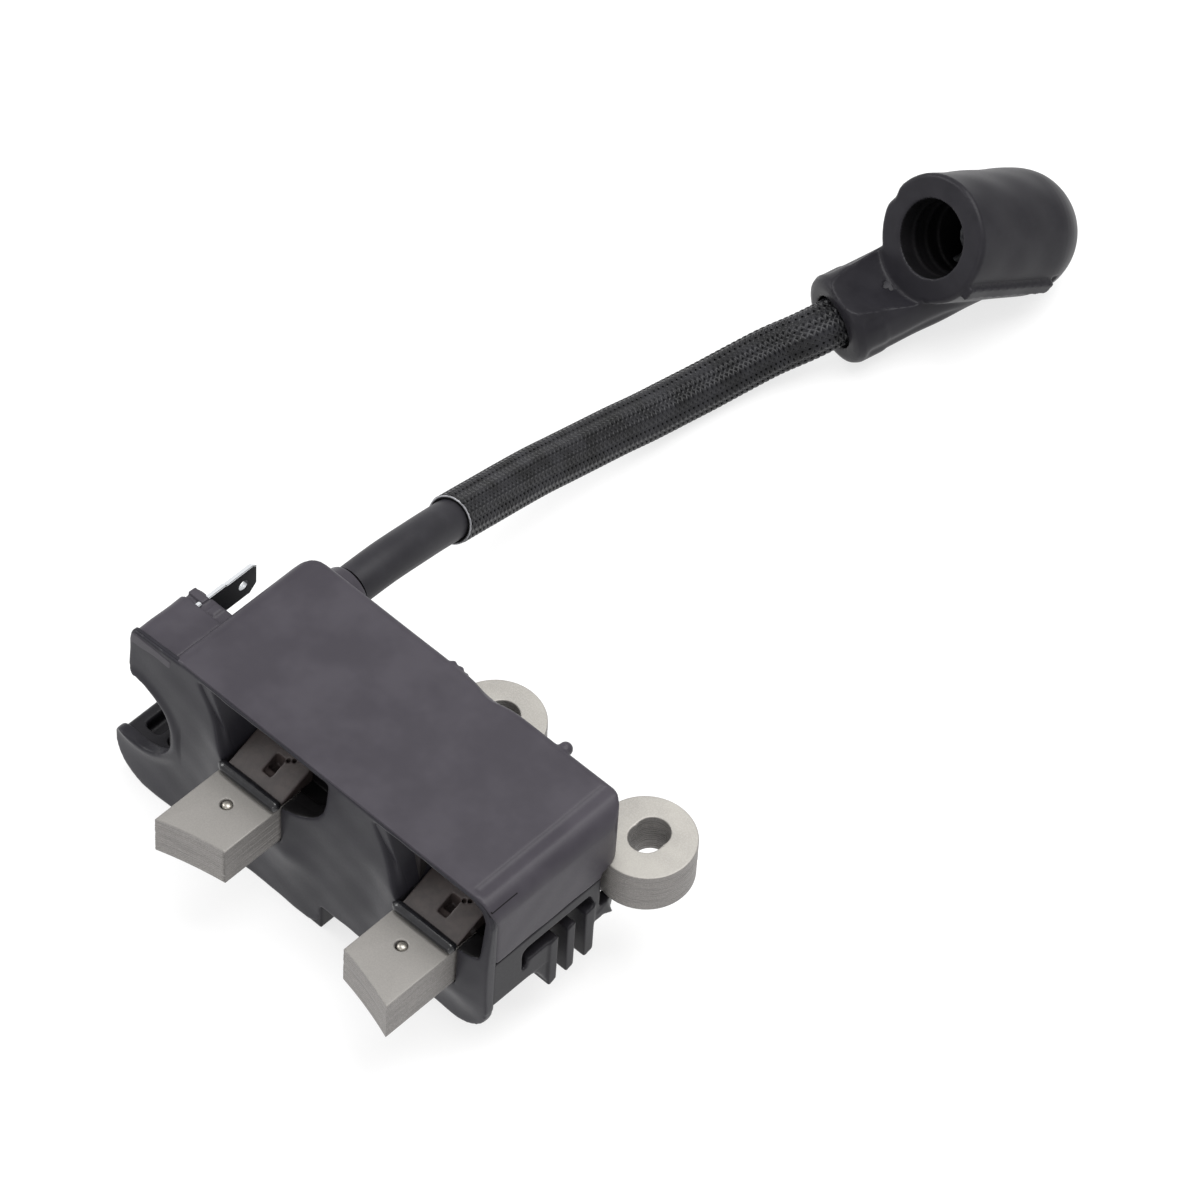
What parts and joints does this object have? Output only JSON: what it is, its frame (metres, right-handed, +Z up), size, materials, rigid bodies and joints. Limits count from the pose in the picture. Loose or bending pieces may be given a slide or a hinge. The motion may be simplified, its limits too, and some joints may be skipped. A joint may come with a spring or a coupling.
{
  "type": "ignition coil",
  "caption": "two-leg flywheel ignition coil with a moulded case, laminated pole shoes and mounting lugs, a push-on stop tab, and a sleeved high-tension lead ending in an elbow plug boot",
  "frame": {"origin": "middle of the case and core in plan, on the surface that the coil lies on", "axes": "X along the case towards the plain end, Y from the pole shoes to the lugs and the lead, Z up"},
  "size_m": [0.0886, 0.2059, 0.0377],
  "materials": {
    "case_moulding": "satin black moulded case",
    "plate_moulding": "satin black moulded front plate",
    "tray_moulding": "satin black moulded tray",
    "resin": "dark potting resin",
    "lamination_steel": "ground silicon-steel laminations",
    "pin_steel": "interlock pins",
    "cap_plastic": "brown-black coil former ends",
    "lip_gloss": "gloss black bars",
    "bobbin_plastic": "primary and trigger bobbins",
    "natural_nylon": "sectioned secondary bobbin",
    "enamelled_copper": "enamelled copper wire",
    "board_laminate": "green circuit board",
    "component_body": "moulded semiconductor bodies",
    "film_capacitor": "dipped film capacitor",
    "resistor_body": "resistor bodies",
    "strap_brass": "brass strap and output pin",
    "tab_tin": "tinned blade",
    "lead_rubber": "high-tension lead insulation",
    "sleeve_braid": "braided glass sleeve",
    "boot_rubber": "moulded rubber boot",
    "spring_steel": "plated spring and clip"
  },
  "bodies": {
    "coil": {"cover": "case_moulding", "front_plate": "plate_moulding", "tray": "tray_moulding", "potting": "resin", "core": "lamination_steel", "core_interlocks": "pin_steel", "leg_cap_left": "cap_plastic", "leg_cap_right": "cap_plastic", "lip_left": "lip_gloss", "lip_right": "lip_gloss", "primary_bobbin": "bobbin_plastic", "primary_winding": "enamelled_copper", "secondary_bobbin": "natural_nylon", "secondary_winding": "enamelled_copper", "circuit_board": "board_laminate", "thyristor": "component_body", "capacitor": "film_capacitor", "diode": "component_body", "resistors": "resistor_body", "trigger_bobbin": "bobbin_plastic", "trigger_winding": "enamelled_copper", "ground_strap": "strap_brass", "terminal_block": "case_moulding", "stop_tab": "tab_tin", "output_pin": "strap_brass", "lead_tower": "tray_moulding", "ht_lead": "lead_rubber", "lead_sleeve": "sleeve_braid", "lead_end": "lead_rubber"},
    "plug_boot": {"boot": "boot_rubber", "boot_clip": "spring_steel", "boot_spring": "spring_steel"}
  },
  "joints": [
    {"name": "boot_swivel", "type": "hinge", "parent": "coil", "child": "plug_boot", "pos_m": [-0.01986, 0.14253, 0.00897], "axis": [0.2547, 0.9638, 0.0785], "range_deg": [-90, 90]}
  ]
}
